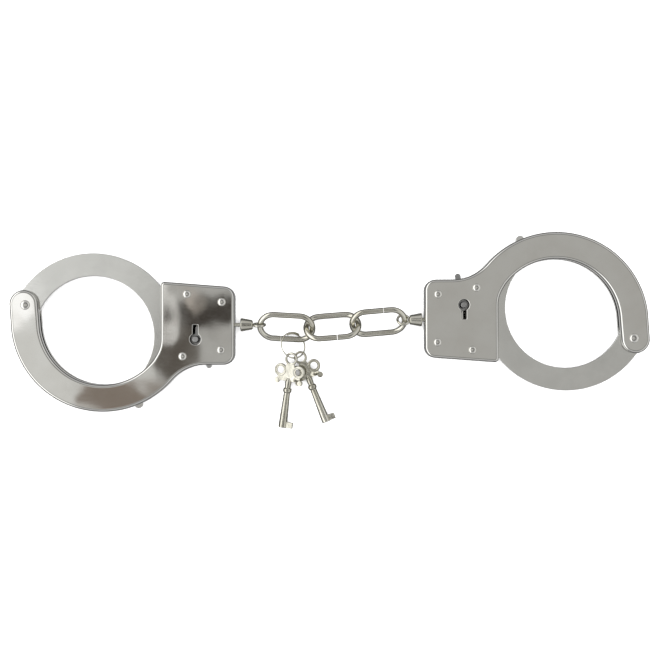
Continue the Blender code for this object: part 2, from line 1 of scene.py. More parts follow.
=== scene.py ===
"""Looks of a pair of nickel-plated handcuffs with a short chain, a key ring and two barrel keys.

Shapes are worked out in millimetres in each piece's own frame, then moved to the frame's metres.
"""

import json
import math

import bmesh
import bpy
from mathutils import Matrix, Vector


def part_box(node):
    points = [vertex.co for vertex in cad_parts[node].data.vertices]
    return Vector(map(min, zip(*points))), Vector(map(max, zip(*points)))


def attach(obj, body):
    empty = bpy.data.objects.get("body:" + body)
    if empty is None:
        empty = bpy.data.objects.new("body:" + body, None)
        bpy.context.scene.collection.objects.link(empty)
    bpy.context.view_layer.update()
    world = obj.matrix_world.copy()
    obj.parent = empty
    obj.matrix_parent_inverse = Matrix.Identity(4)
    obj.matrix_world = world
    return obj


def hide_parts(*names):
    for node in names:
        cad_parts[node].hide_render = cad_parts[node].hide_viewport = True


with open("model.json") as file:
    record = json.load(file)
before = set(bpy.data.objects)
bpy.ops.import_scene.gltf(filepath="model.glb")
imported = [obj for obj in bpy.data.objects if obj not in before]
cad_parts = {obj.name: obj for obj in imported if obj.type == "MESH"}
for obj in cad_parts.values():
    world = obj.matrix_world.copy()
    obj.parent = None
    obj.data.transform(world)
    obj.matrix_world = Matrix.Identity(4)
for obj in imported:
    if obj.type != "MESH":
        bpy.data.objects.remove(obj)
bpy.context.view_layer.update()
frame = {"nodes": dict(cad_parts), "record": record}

MM = 0.001
IMAGE_SIDE = 662
POINT_SIZE = 0.45          # millimetres across one point of the image, at the height of the front plates
CAMERA_HEIGHT = 0.6        # metres
SENSOR = 36.0
SHARP_ANGLE = 32.0         # degrees; faces that meet at a steeper angle keep a crisp edge

# ---------------------------------------------------------------- stack of a cuff, bottom to top
TAIL_HEIGHT = 0.6
CUFF_THICKNESS = 9.2
HALF = CUFF_THICKNESS / 2
MID_Z = TAIL_HEIGHT + HALF
SHEET = 0.9
SHOULDER = 1.4
SEAM_GAP = 0.3
ARM_THICKNESS = 2.0
ARM_SLOT = 2.6
FIT = 0.3

# ---------------------------------------------------------------- plate outline
CAP_CENTRE = (-0.9, 0.4)
CAP_RADIUS = 6.4
BOW_CENTRE = (34.7, -6.6)
BOW_OUTER = 41.5
OPENING_CENTRE = (34.8, -7.3)
OPENING_RADIUS = 28.6
OPENING_START = -37.0
THROAT_RADIUS = 20.6
BOX_BOTTOM = -26.8
BOX_END = 94.2
BOX_END_TOP = 8.25
BOX_MOUTH = 60.9
BOX_MOUTH_TOP = 10.75
BOX_CORNER = 5.0
MOUTH_CORNER = 1.8
MOUTH_SWEEP = 14.0

# ---------------------------------------------------------------- ratchet arm
ARM_OUTER_CENTRE = (30.0, -15.4)
ARM_OUTER_RADIUS = 38.95
ARM_INNER_CENTRE = (30.4, -13.95)
ARM_INNER_RADIUS = 27.2
ARM_END_RADIUS = 5.2
TOOTH_TIP = 69.5
TOOTH_ROOT = 68.4
TOOTH_PITCH = 1.7
TOOTH_COUNT = 16
TOOTH_START = -36.5
TOOTH_TIP_AT = 0.82        # how far along its pitch a tooth has its tip
NOSE_ANGLE = -41.4
NOSE_CENTRE_RADIUS = 67.6
NOSE_RADIUS = 1.9
ARM_TIP_INNER_ANGLE = -50.0
SLOT_RADIUS = 70.3
ARM_BORE_FIT = 0.15

# ---------------------------------------------------------------- rivets, lock and swivel
CASE_RIVETS = ((72.8, 5.0), (88.5, 1.5), (70.9, -23.0), (88.2, -20.1))
RIVET_SHANK = 1.2
RIVET_HEAD = 1.85
RIVET_HEAD_HEIGHT = 1.0
RIVET_TAIL = 1.55
HEAD_GAP = 0.12            # between a plate and the heads and tails on it
PIVOT_SHANK = 1.5
KEYHOLE = (76.6, -15.3)
KEYHOLE_RADIUS = 2.5
KEYHOLE_SLOT_LENGTH = 6.5
KEYHOLE_SLOT_WIDTH = 2.3
KEYHOLE_LIP = 0.35
KEYHOLE_CORNER = 0.35
POST_RADIUS = 1.35
LEVER_HUB = 2.6
LEVER_LENGTH = 14.5
LEVER_WIDTH = 2.5
FINGER_LENGTH = 5.7        # the finger is a little shorter and slimmer than the CAD's
FINGER_WIDTH = 1.1
LEVER_REST = -64.0
LEVER_TRAVEL = (-16.0, 11.0)
FINGER_REST = 88.0
NOTCH_REACH = (8.0, 17.0)
NOTCH_SPREAD = 7.5         # degrees that the lever's window goes past its travel
LEVER_Z = (MID_Z - 1.1, MID_Z - 0.2)
SWIVEL_Y = -8.7
SWIVEL_SHANK = 0.9
SWIVEL_HEAD = 2.2
SWIVEL_PLAY = 1.1          # from the box's end wall to the swivel's head, before any slide
COLLAR_START = 95.8
COLLAR_LENGTH = 5.5
COLLAR_WIDE = 3.05
COLLAR_NARROW = 2.2
EYE_RADIUS = 2.65
EYE_WIRE = 0.55
EYE_CENTRE_X = 104.2

# ---------------------------------------------------------------- chain, ring and keys
LINK_LENGTH = 26.5
LINK_WIDTH = 14.9
LINK_WIRE = 1.3
BUTT_GAP = 0.18
RING_RADIUS = 5.85
RING_GROWTH = 0.36
RING_OVERLAP = 62.0
RING_WIRE = 0.3
KEY_BARREL_NECK = 1.4
KEY_BARREL_TIP = 1.95
KEY_BARREL_LENGTH = 17.2
KEY_BORE = 1.45
KEY_BORE_DEPTH = 9.0
KEY_COLLAR = 1.95
KEY_BIT_REACH = 4.7
KEY_TOP_RING_Y = 14.4
KEY_SIDE_RING = (4.37, 8.8)
KEY_LUG = (5.5, 3.9)
KEY_PLATE = 1.1
KEY_RING_OUTER = 3.0
KEY_RING_HOLE = 1.9
KEY_SIDE_HOLE = 1.65       # the CAD's side holes are as wide as the top one
KEY_WEB = 0.42             # half the thickness of the web between the bow's rings
KEY_FLANGE = 0.36          # half the thickness of the flat rim inside a side ring

# ---------------------------------------------------------------- where the pieces lie
SHIFT = Vector((0.599, -0.103, 0.0))
CUFFS = {
    "left": {"swivel_slide": 0.9, "eye_turn": 14.0, "lever_turn": 0.0},
    "right": {"swivel_slide": -0.5, "eye_turn": -52.0, "lever_turn": -16.0},
}
LINKS = {
    "chain_link_left": {"slope": -3.2, "tilt": 30.0, "flip": 180.0, "gap_at": 0.30},
    "chain_link_middle": {"slope": 4.6, "tilt": -35.0, "flip": 180.0, "gap_at": 0.66},
    "chain_link_right": {"slope": 5.0, "tilt": 35.0, "flip": 0.0, "gap_at": 0.73},
}
RING_CENTRE = Vector((-17.129, -6.589, 3.3))
RING_SLOPE = (-0.511, -0.283)
KEYS = {
    "key_front": {"collar": (-19.857, -26.872, 3.65), "turn": -7.616, "pitch": 5.181,
                  "roll": 17.263},
    "key_back": {"collar": (-8.526, -25.4, 2.667), "turn": 21.92, "pitch": 2.083,
                 "roll": 7.605},
}


# ---------------------------------------------------------------- plane geometry
def polar(centre, radius, degrees):
    angle = math.radians(degrees)
    return (centre[0] + radius * math.cos(angle), centre[1] + radius * math.sin(angle))


def arc(centre, radius, start, end, step=3.0):
    """Points of an arc from start to end degrees, both ends included."""
    count = max(1, math.ceil(abs(end - start) / step))
    return [polar(centre, radius, start + (end - start) * i / count) for i in range(count + 1)]


def fillet(before, corner, after, radius, step=6.0):
    """Points of the arc that rounds a corner between two straight edges."""
    here = Vector(corner)
    to_before = (Vector(before) - here).normalized()
    to_after = (Vector(after) - here).normalized()
    half = to_before.angle(to_after) / 2
    middle = here + (to_before + to_after).normalized() * (radius / math.sin(half))
    start = here + to_before * (radius / math.tan(half)) - middle
    end = here + to_after * (radius / math.tan(half)) - middle
    first = math.degrees(math.atan2(start.y, start.x))
    sweep = math.degrees(math.atan2(end.y, end.x)) - first
    sweep = (sweep + 180) % 360 - 180
    return arc(tuple(middle), radius, first, first + sweep, step)


def inset(outline, distance):
    """Move a counter-clockwise outline inwards by a small distance."""
    moved = []
    for i, point in enumerate(outline):
        here = Vector(point)
        ahead = (Vector(outline[(i + 1) % len(outline)]) - here).normalized()
        behind = (here - Vector(outline[i - 1])).normalized()
        tangent = (ahead + behind).normalized()
        stretch = max(0.5, tangent.dot(ahead))
        normal = Vector((-tangent.y, tangent.x))
        moved.append(tuple(here + normal * (distance / stretch)))
    return moved


# ---------------------------------------------------------------- mesh building
def object_from(name, points, faces):
    """An object from points in millimetres, with its faces turned outwards."""
    mesh = bpy.data.meshes.new(name)
    mesh.from_pydata([tuple(c * MM for c in p) for p in points], [], faces)
    shape = bmesh.new()
    shape.from_mesh(mesh)
    bmesh.ops.recalc_face_normals(shape, faces=shape.faces)
    shape.to_mesh(mesh)
    shape.free()
    made = bpy.data.objects.new(name, mesh)
    bpy.context.scene.collection.objects.link(made)
    return made


def stack(name, rings, closed=False):
    """Skin equal-sized rings of 3-D points; cap the ends, or join the last ring to the first."""
    size = len(rings[0])
    points = [p for ring in rings for p in ring]
    faces = []
    levels = len(rings) if closed else len(rings) - 1
    for level in range(levels):
        low = level * size
        high = (level + 1) % len(rings) * size
        for i in range(size):
            j = (i + 1) % size
            faces.append([low + i, low + j, high + j, high + i])
    if not closed:
        faces.append(list(range(size - 1, -1, -1)))
        last = (len(rings) - 1) * size
        faces.append(list(range(last, last + size)))
    return object_from(name, points, faces)


def prism(name, outline, low, high, bevel=0.0):
    """An outline raised from low to high, with its two rims rounded by bevel."""
    if not bevel:
        return stack(name, [[(x, y, z) for x, y in outline] for z in (low, high)])
    rings = []
    for degrees in (0, 30, 60, 90):
        angle = math.radians(degrees)
        depth = bevel * (1 - math.sin(angle))
        rings.append([(x, y, low + bevel * (1 - math.cos(angle)))
                      for x, y in inset(outline, depth)])
    for degrees in (90, 60, 30, 0):
        angle = math.radians(degrees)
        depth = bevel * (1 - math.sin(angle))
        rings.append([(x, y, high - bevel * (1 - math.cos(angle)))
                      for x, y in inset(outline, depth)])
    return stack(name, rings)


def lathe(name, profile, along="Z", at=(0.0, 0.0), sides=48):
    """Turn a profile of (radius, height) pairs about Z, or about X, through the point at."""
    rings = []
    for radius, height in profile:
        ring = []
        for i in range(sides):
            angle = 2 * math.pi * i / sides
            a = at[0] + radius * math.cos(angle)
            b = at[1] + radius * math.sin(angle)
            ring.append((a, b, height) if along == "Z" else (height, a, b))
        rings.append(ring)
    return stack(name, rings)


def rounded(profile, radius=0.15, steps=3):
    """Round the inner corners of a turned profile; its first and last points stay."""
    smooth = [profile[0]]
    for i in range(1, len(profile) - 1):
        corner = Vector(profile[i])
        before = Vector(profile[i - 1]) - corner
        after = Vector(profile[i + 1]) - corner
        cut = min(radius, before.length * 0.45, after.length * 0.45)
        start = corner + before.normalized() * cut
        end = corner + after.normalized() * cut
        for k in range(steps + 1):
            t = k / steps
            smooth.append(tuple(start * (1 - t) ** 2 + corner * (2 * t * (1 - t)) + end * t ** 2))
    smooth.append(profile[-1])
    return smooth


def tube(name, path, radius, sides=20, closed=False):
    """Round wire along a path, with rounded ends unless it is closed."""
    spots = [Vector(p) for p in path]
    count = len(spots)
    tangents = []
    for i in range(count):
        ahead = spots[(i + 1) % count] if closed or i < count - 1 else spots[i]
        behind = spots[i - 1] if closed or i > 0 else spots[i]
        tangents.append((ahead - behind).normalized())
    normal = tangents[0].orthogonal().normalized()
    rings = []

    def ring_at(spot, tangent, size):
        side = tangent.cross(normal)
        return [tuple(spot + (normal * math.cos(a) + side * math.sin(a)) * size)
                for a in [2 * math.pi * k / sides for k in range(sides)]]

    lip = radius * 0.06
    rolls = [(lip * (1 - math.sin(a)), radius - lip * (1 - math.cos(a)))
             for a in [math.radians(d) for d in (0, 30, 60)]]
    for i, (spot, tangent) in enumerate(zip(spots, tangents)):
        normal = (normal - tangent * normal.dot(tangent)).normalized()
        if closed or 0 < i < count - 1:
            rings.append(ring_at(spot, tangent, radius))
            continue
        inward = 1 if i == 0 else -1
        end = [ring_at(spot + tangent * (inward * (lip - depth)), tangent, size)
               for depth, size in rolls]
        end.append(ring_at(spot + tangent * (inward * lip), tangent, radius))
        rings += end if i == 0 else end[::-1]
    return stack(name, rings, closed)


def placed(thing, matrix):
    thing.data.transform(matrix)
    return thing


def combine(name, base, steps):
    """Apply Boolean steps to a base object and keep only the result."""
    for operation, tool in steps:
        step = base.modifiers.new(operation, "BOOLEAN")
        step.operation = operation
        step.object = tool
        step.solver = "EXACT"
    bpy.context.view_layer.update()
    ready = base.evaluated_get(bpy.context.evaluated_depsgraph_get())
    mesh = bpy.data.meshes.new_from_object(ready)
    base.modifiers.clear()
    base.data = mesh
    base.name = name
    for _, tool in steps:
        bpy.data.objects.remove(tool)
    return base


def finish_piece(thing, body, node, look):
    """Name a piece, give it its material and say which body carries it and which node it shows."""
    thing.name = "look_" + node
    thing.data.shade_smooth()
    thing.data.set_sharp_from_angle(angle=math.radians(SHARP_ANGLE))
    weigh = thing.modifiers.new("even_shading", "WEIGHTED_NORMAL")
    weigh.keep_sharp = True
    thing.data.materials.clear()
    thing.data.materials.append(look)
    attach(thing, body)
    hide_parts(node)


# ---------------------------------------------------------------- materials
def metal(name, colour, dark, roughness, ripple, ripple_scale, grain):
    """Plated metal: cloudy tint, uneven polish, slow waves in the sheet and fine rubbing marks."""
    look = bpy.data.materials.new(name)
    look.use_nodes = True
    nodes = look.node_tree.nodes
    links = look.node_tree.links
    shader = nodes["Principled BSDF"]
    shader.inputs["Metallic"].default_value = 1.0
    place = nodes.new("ShaderNodeTexCoord")

    cloud = nodes.new("ShaderNodeTexNoise")
    cloud.inputs["Scale"].default_value = 90.0
    cloud.inputs["Detail"].default_value = 4.0
    tint = nodes.new("ShaderNodeValToRGB")
    tint.color_ramp.elements[0].position = 0.3
    tint.color_ramp.elements[0].color = (*dark, 1)
    tint.color_ramp.elements[1].position = 0.62
    tint.color_ramp.elements[1].color = (*colour, 1)
    links.new(place.outputs["Object"], cloud.inputs["Vector"])
    links.new(cloud.outputs["Fac"], tint.inputs["Fac"])
    links.new(tint.outputs["Color"], shader.inputs["Base Color"])

    rub = nodes.new("ShaderNodeMapping")
    rub.inputs["Rotation"].default_value = (0.0, 0.0, 0.5)
    rub.inputs["Scale"].default_value = (350.0, 900.0, 400.0)
    marks = nodes.new("ShaderNodeTexNoise")
    marks.inputs["Scale"].default_value = 1.0
    marks.inputs["Detail"].default_value = 5.0
    marks.inputs["Roughness"].default_value = 0.7
    polish = nodes.new("ShaderNodeMapRange")
    polish.inputs["From Min"].default_value = 0.3
    polish.inputs["From Max"].default_value = 0.75
    polish.inputs["To Min"].default_value = roughness * 0.85
    polish.inputs["To Max"].default_value = roughness * 1.25
    links.new(place.outputs["Object"], rub.inputs["Vector"])
    links.new(rub.outputs["Vector"], marks.inputs["Vector"])
    links.new(marks.outputs["Fac"], polish.inputs["Value"])
    links.new(polish.outputs["Result"], shader.inputs["Roughness"])

    waves = nodes.new("ShaderNodeTexNoise")
    waves.inputs["Scale"].default_value = ripple_scale
    waves.inputs["Detail"].default_value = 1.0
    sheet = nodes.new("ShaderNodeBump")
    sheet.inputs["Strength"].default_value = 1.0
    sheet.inputs["Distance"].default_value = ripple * MM
    fine = nodes.new("ShaderNodeBump")
    fine.inputs["Strength"].default_value = 1.0
    fine.inputs["Distance"].default_value = grain * MM
    links.new(place.outputs["Object"], waves.inputs["Vector"])
    links.new(waves.outputs["Fac"], sheet.inputs["Height"])
    links.new(marks.outputs["Fac"], fine.inputs["Height"])
    links.new(sheet.outputs["Normal"], fine.inputs["Normal"])
    links.new(fine.outputs["Normal"], shader.inputs["Normal"])
    return look


PLATE_LOOK = metal("plate_nickel", (0.70, 0.695, 0.67), (0.66, 0.65, 0.62), 0.04, 0.10, 45.0, 0.0006)
ARM_LOOK = metal("arm_nickel", (0.72, 0.72, 0.70), (0.66, 0.66, 0.64), 0.12, 0.05, 45.0, 0.0012)
RIVET_LOOK = metal("rivet_nickel", (0.76, 0.75, 0.72), (0.68, 0.67, 0.63), 0.2, 0.03, 400.0, 0.003)
CHAIN_LOOK = metal("chain_nickel", (0.70, 0.685, 0.61), (0.57, 0.55, 0.47), 0.17, 0.05, 300.0, 0.004)
KEY_LOOK = metal("key_nickel", (0.68, 0.665, 0.59), (0.50, 0.48, 0.40), 0.2, 0.08, 500.0, 0.006)
LOCK_LOOK = metal("inner_nickel", (0.50, 0.50, 0.50), (0.38, 0.38, 0.38), 0.3, 0.03, 300.0, 0.004)
SPRING_LOOK = metal("spring_steel", (0.42, 0.42, 0.44), (0.30, 0.30, 0.32), 0.3, 0.02, 600.0, 0.003)


# ---------------------------------------------------------------- plates
def plate_outline():
    """Outline of a pressed plate: pivot cap, bow, throat, lock box, mouth and opening."""
    foot_y = BOX_BOTTOM - THROAT_RADIUS
    reach = BOW_OUTER + THROAT_RADIUS
    foot_x = BOW_CENTRE[0] + math.sqrt(reach ** 2 - (BOW_CENTRE[1] - foot_y) ** 2)
    foot = (foot_x, foot_y)
    join = math.degrees(math.atan2(foot_y - BOW_CENTRE[1], foot_x - BOW_CENTRE[0]))
    bottom_corner = (BOX_END, BOX_BOTTOM)
    top_corner = (BOX_END, BOX_END_TOP)
    mouth_corner = (BOX_MOUTH, BOX_MOUTH_TOP)
    low_y = OPENING_CENTRE[1] - math.sqrt(
        OPENING_RADIUS ** 2 - (BOX_MOUTH - OPENING_CENTRE[0]) ** 2)
    low_corner = (BOX_MOUTH, low_y)
    opening_start = polar(OPENING_CENTRE, OPENING_RADIUS, OPENING_START)
    points = arc(CAP_CENTRE, CAP_RADIUS, 0, 180, 6)
    points += arc(BOW_CENTRE, BOW_OUTER, 187, join + 360)
    points += arc(foot, THROAT_RADIUS, join + 180, 90, 4)[1:]
    points += fillet((foot_x, BOX_BOTTOM), bottom_corner, top_corner, BOX_CORNER)
    points += fillet(bottom_corner, top_corner, mouth_corner, BOX_CORNER)
    points += fillet(top_corner, mouth_corner, low_corner, MOUTH_CORNER, 10)
    points += fillet(mouth_corner, low_corner, opening_start, MOUTH_SWEEP, 4)
    points += arc(OPENING_CENTRE, OPENING_RADIUS, OPENING_START, -178.0)
    return points


def keyhole_outline():
    x, y = KEYHOLE
    half = KEYHOLE_SLOT_WIDTH / 2
    edge = math.degrees(math.asin(half / KEYHOLE_RADIUS))
    points = arc(KEYHOLE, KEYHOLE_RADIUS, 90 + edge, 450 - edge, 8)
    top = y + KEYHOLE_SLOT_LENGTH
    points += fillet((x + half, y), (x + half, top), (x - half, top), KEYHOLE_CORNER, 30)
    points += fillet((x + half, top), (x - half, top), (x - half, y), KEYHOLE_CORNER, 30)
    return points


def keyhole_cutter():
    """The keyhole's prism, which widens at the plate's face to leave a rolled lip."""
    outline = keyhole_outline()
    face = MID_Z + HALF
    rings = [[(x, y, face - 3 * SHEET) for x, y in outline]]
    for degrees in (0, 30, 60, 80):
        angle = math.radians(degrees)
        rings.append([(x, y, face - KEYHOLE_LIP * (1 - math.sin(angle)))
                      for x, y in inset(outline, -KEYHOLE_LIP * (1 - math.cos(angle)))])
    rings.append([(x, y, face + 1) for x, y in inset(outline, -KEYHOLE_LIP)])
    return stack("keyhole", rings)


def plate_shell(side):
    """The pressed shell: side is +1 for the front plate and -1 for the rear plate."""
    outline = plate_outline()
    steps = 8
    lip = 0.12
    levels = [(SHEET + 0.7, HALF - SHEET), (SHEET, HALF - SHEET - 0.5), (SHEET, SEAM_GAP / 2),
              (lip, SEAM_GAP / 2), (0.0, SEAM_GAP / 2 + lip)]
    for i in range(steps + 1):
        angle = math.radians(90 * i / steps)
        levels.append((SHOULDER * (1 - math.cos(angle)),
                       HALF - SHOULDER * (1 - math.sin(angle))))
    rings = [[(x, y, MID_Z + side * height) for x, y in inset(outline, depth)]
             for depth, height in levels]
    return stack("shell", rings)


def vertical_hole(point, radius, low, high, sides=32):
    return lathe("hole", [(radius, low), (radius, high)], at=point, sides=sides)


def lever_notch():
    """Window in the rear flange that the lever's stub swings in."""
    first = LEVER_REST + LEVER_TRAVEL[0] - NOTCH_SPREAD
    last = LEVER_REST + LEVER_TRAVEL[1] + NOTCH_SPREAD
    near, far = NOTCH_REACH
    outline = arc(KEYHOLE, far, first, last, 6) + arc(KEYHOLE, near, last, first, 6)
    return prism("notch", outline, LEVER_Z[0] - FIT, MID_Z + 0.1)


def make_plate(side):
    outside = MID_Z + side * (HALF + 1.0)
    inside = MID_Z + side * (HALF - SHEET - 1.0)
    low, high = min(inside, outside), max(inside, outside)
    slot = lathe("slot", [(SLOT_RADIUS, MID_Z - ARM_SLOT / 2), (SLOT_RADIUS, MID_Z + ARM_SLOT / 2)],
                 sides=180)
    steps = [("DIFFERENCE", slot)]
    steps.append(("DIFFERENCE", vertical_hole((0, 0), PIVOT_SHANK + FIT, low, high)))
    for point in CASE_RIVETS:
        steps.append(("DIFFERENCE", vertical_hole(point, RIVET_SHANK + FIT, low, high)))
    bore = lathe("bore", [(SWIVEL_SHANK + FIT, BOX_END - 2.5), (SWIVEL_SHANK + FIT, BOX_END + 2)],
                 along="X", at=(SWIVEL_Y, MID_Z), sides=32)
    steps.append(("DIFFERENCE", bore))
    if side > 0:
        steps.append(("DIFFERENCE", keyhole_cutter()))
    else:
        steps.append(("DIFFERENCE", vertical_hole(KEYHOLE, POST_RADIUS + FIT, low, high)))
        steps.append(("DIFFERENCE", lever_notch()))
    return combine("plate", plate_shell(side), steps)


# ---------------------------------------------------------------- ratchet arm
def arm_outline():
    """Band about its own centre, with teeth on an arc about the pivot and a rounded nose."""
    pivot = (0.0, 0.0)
    outward = math.degrees(math.atan2(-ARM_OUTER_CENTRE[1], -ARM_OUTER_CENTRE[0]))
    distance = math.hypot(*ARM_OUTER_CENTRE)
    tooth_end = TOOTH_START + TOOTH_COUNT * TOOTH_PITCH
    lean = (TOOTH_TIP ** 2 - distance ** 2 - ARM_OUTER_RADIUS ** 2) / (
        2 * distance * ARM_OUTER_RADIUS)
    band_start = math.degrees(math.acos(lean)) + outward - 180
    nose = polar(pivot, NOSE_CENTRE_RADIUS, NOSE_ANGLE)
    points = arc(pivot, ARM_END_RADIUS, outward, 285, 6)
    points += arc(ARM_INNER_CENTRE, ARM_INNER_RADIUS, 163, ARM_TIP_INNER_ANGLE, 3)
    points += arc(nose, NOSE_RADIUS, 185, 380, 10)
    for i in range(TOOTH_COUNT):
        start = TOOTH_START + i * TOOTH_PITCH
        points.append(polar(pivot, TOOTH_ROOT, start))
        points.append(polar(pivot, TOOTH_TIP, start + TOOTH_TIP_AT * TOOTH_PITCH))
    points.append(polar(pivot, TOOTH_ROOT, tooth_end))
    points += arc(ARM_OUTER_CENTRE, ARM_OUTER_RADIUS, band_start + 1.5, outward, 3)[:-1]
    return points


def make_arm():
    low = MID_Z - ARM_THICKNESS / 2
    high = MID_Z + ARM_THICKNESS / 2
    band = prism("arm", arm_outline(), low, high, 0.22)
    hole = vertical_hole((0, 0), PIVOT_SHANK + ARM_BORE_FIT, low - 1, high + 1)
    return combine("arm", band, [("DIFFERENCE", hole)])


# ---------------------------------------------------------------- rivets, lock and swivel
def make_rivet(shank):
    """Domed head on the front plate, flat tail under the rear plate."""
    head_z = MID_Z + HALF + HEAD_GAP
    tail_top = TAIL_HEIGHT - HEAD_GAP
    grow = shank - RIVET_SHANK
    head = RIVET_HEAD + grow
    tail = RIVET_TAIL + grow
    profile = [(tail - 0.2, 0.0), (tail - 0.06, 0.06), (tail, 0.2), (tail, tail_top),
               (shank, tail_top), (shank, head_z), (head - 0.08, head_z), (head, head_z + 0.06)]
    for degrees in range(8, 89, 8):
        angle = math.radians(degrees)
        profile.append((head * math.cos(angle),
                        head_z + 0.1 + (RIVET_HEAD_HEIGHT - 0.1) * math.sin(angle)))
    return lathe("rivet", profile)


def make_key_post():
    foot = TAIL_HEIGHT - HEAD_GAP
    top = MID_Z + HALF - 0.7
    profile = [(POST_RADIUS + 0.4, 0.15), (POST_RADIUS + 0.5, 0.25), (POST_RADIUS + 0.5, foot),
               (POST_RADIUS, foot), (POST_RADIUS, top - 0.35), (POST_RADIUS - 0.1, top - 0.12),
               (POST_RADIUS - 0.35, top)]
    return lathe("post", profile, sides=40)


def bar_outline(length, width, degrees):
    """A straight finger from the origin, with a round end."""
    tip = polar((0, 0), length - width / 2, degrees)
    points = [polar((0, 0), width / 2, degrees - 90)]
    points += arc(tip, width / 2, degrees - 90, degrees + 90, 10)
    points.append(polar((0, 0), width / 2, degrees + 90))
    return points


def make_lever():
    """Release lever: a hub on the key post, a finger behind the pawl and a stub outside the box."""
    low, high = LEVER_Z
    hub = vertical_hole((0, 0), LEVER_HUB, TAIL_HEIGHT + SHEET + 0.2, high, 40)
    stub = prism("stub", bar_outline(LEVER_LENGTH, LEVER_WIDTH, LEVER_REST), low, high - 0.02, 0.12)
    finger = prism("finger", bar_outline(FINGER_LENGTH, FINGER_WIDTH, FINGER_REST),
                   low + 0.02, high - 0.04)
    bore = vertical_hole((0, 0), POST_RADIUS + FIT, 0, high + 1)
    return combine("lever", hub, [("UNION", stub), ("UNION", finger), ("DIFFERENCE", bore)])


def make_swivel(eye_turn):
    """Headed shank, tapered collar and eye, all turned or bent from one piece."""
    x0 = BOX_END - SHEET - SWIVEL_PLAY
    end = COLLAR_START + COLLAR_LENGTH
    profile = [(SWIVEL_HEAD - 0.3, x0 - 1.3), (SWIVEL_HEAD, x0 - 1.0), (SWIVEL_HEAD, x0),
               (SWIVEL_SHANK, x0), (SWIVEL_SHANK, COLLAR_START), (COLLAR_WIDE - 0.3, COLLAR_START),
               (COLLAR_WIDE, COLLAR_START + 0.4), (COLLAR_NARROW, end - 0.3),
               (COLLAR_NARROW - 0.4, end)]
    shank = lathe("shank", rounded(profile, 0.2), along="X", at=(SWIVEL_Y, MID_Z), sides=40)
    tilt = math.radians(eye_turn)
    side = Vector((0.0, -math.sin(tilt), math.cos(tilt)))
    centre = Vector((EYE_CENTRE_X, SWIVEL_Y, MID_Z))
    circle = [centre + Vector((math.cos(a), 0, 0)) * EYE_RADIUS + side * (EYE_RADIUS * math.sin(a))
              for a in [2 * math.pi * i / 64 for i in range(64)]]
    eye = tube("eye", circle, EYE_WIRE, 20, closed=True)
    return combine("swivel", shank, [("UNION", eye)])


def joint(name):
    return next(j for j in frame["record"]["behaviour"]["joints"] if j["name"] == name)


def cuff_frame(side):
    """The cuff's own frame: pivot at the origin, +X towards the lock box."""
    pivot = Vector(joint(side + "_arm_swing")["pos_m"])
    post = Vector(joint(side + "_lever_turn")["pos_m"])
    across = post - pivot
    turn = math.atan2(across.y, across.x) - math.atan2(KEYHOLE[1], KEYHOLE[0])
    return Matrix.Translation((pivot.x, pivot.y, 0)) @ Matrix.Rotation(turn, 4, "Z")


def at(x, y, degrees=0.0):
    return Matrix.Translation((x * MM, y * MM, 0)) @ Matrix.Rotation(math.radians(degrees), 4, "Z")


def build_cuff(side, setting):
    """All the drawn pieces of one cuff: each is made in the cuff's frame and carried by its body."""
    where = cuff_frame(side)

    def add(thing, name, body, look, spot=Matrix()):
        finish_piece(placed(thing, where @ spot), side + "_" + body, side + "_" + name, look)

    add(make_plate(1), "front_plate", "cuff", PLATE_LOOK)
    add(make_plate(-1), "rear_plate", "cuff", PLATE_LOOK)
    add(make_arm(), "ratchet_arm", "arm", ARM_LOOK)
    add(make_rivet(PIVOT_SHANK), "pivot_rivet", "cuff", RIVET_LOOK)
    for i, point in enumerate(CASE_RIVETS):
        name = "case_rivet_%d" % (i + 1)
        add(make_rivet(RIVET_SHANK), name, "cuff", RIVET_LOOK, at(*point))
    add(make_key_post(), "key_post", "cuff", LOCK_LOOK, at(*KEYHOLE))
    add(make_lever(), "release_lever", "lever", LOCK_LOOK,
        at(*KEYHOLE, setting["lever_turn"]))
    add(make_swivel(setting["eye_turn"]), "swivel", "swivel", CHAIN_LOOK,
        at(setting["swivel_slide"], 0))


# ---------------------------------------------------------------- chain, ring and keys
def make_link(gap_at):
    """Oval of round wire in the XY plane with a butt joint in one straight side."""
    bend = LINK_WIDTH / 2 - LINK_WIRE
    reach = LINK_LENGTH / 2 - LINK_WIDTH / 2
    butt = -reach + 2 * reach * gap_at
    path = [(butt - BUTT_GAP / 2, bend)]
    path += arc((-reach, 0), bend, 90, 270, 6)
    path += arc((reach, 0), bend, 270, 450, 6)
    path += [(butt + BUTT_GAP / 2, bend)]
    return tube("link", [(px, py, 0) for px, py in path], LINK_WIRE, 28)


def build_chain():
    for name, link in LINKS.items():
        low, high = [Vector(corner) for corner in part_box(name)]
        turn = (Matrix.Rotation(math.radians(link["slope"]), 4, "Z")
                @ Matrix.Rotation(math.radians(link["tilt"] + link["flip"]), 4, "X"))
        where = Matrix.Translation((low + high) / 2) @ turn
        finish_piece(placed(make_link(link["gap_at"]), where), name, name,
                     CHAIN_LOOK)


